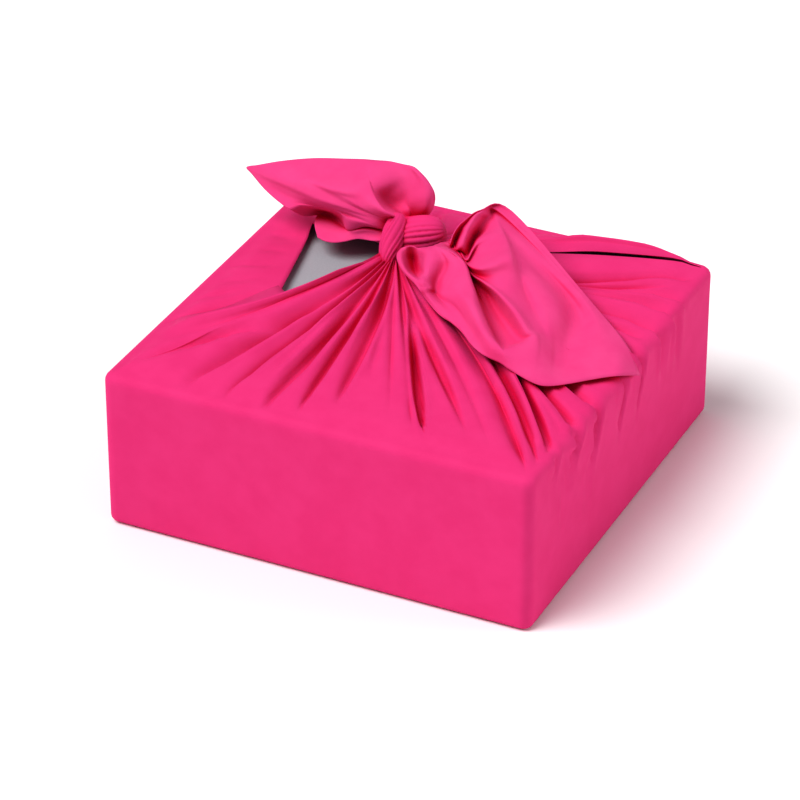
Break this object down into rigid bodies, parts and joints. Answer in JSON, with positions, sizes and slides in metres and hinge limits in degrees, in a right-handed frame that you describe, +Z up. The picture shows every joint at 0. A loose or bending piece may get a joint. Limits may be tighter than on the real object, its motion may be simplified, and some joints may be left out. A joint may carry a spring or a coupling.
{
  "type": "furoshiki wrap with its gift box",
  "caption": "Square cloth drawn up round a flat square gift box and tied over the lid in a pleated knot with two loose ends, leaving two gaps to tuck a sprig through.",
  "frame": {"origin": "middle of the flat underside, where the parcel rests", "axes": "+Z up, +X along the front from left to right, +Y to the back"},
  "size_m": [0.328, 0.306, 0.1752],
  "materials": {
    "cloth": "plain hot pink stretch polyester, fine smooth face with a soft sheen",
    "card": "matt grey covered card"
  },
  "bodies": {
    "root": {"cloth": "cloth", "box": "card"}
  },
  "joints": []
}
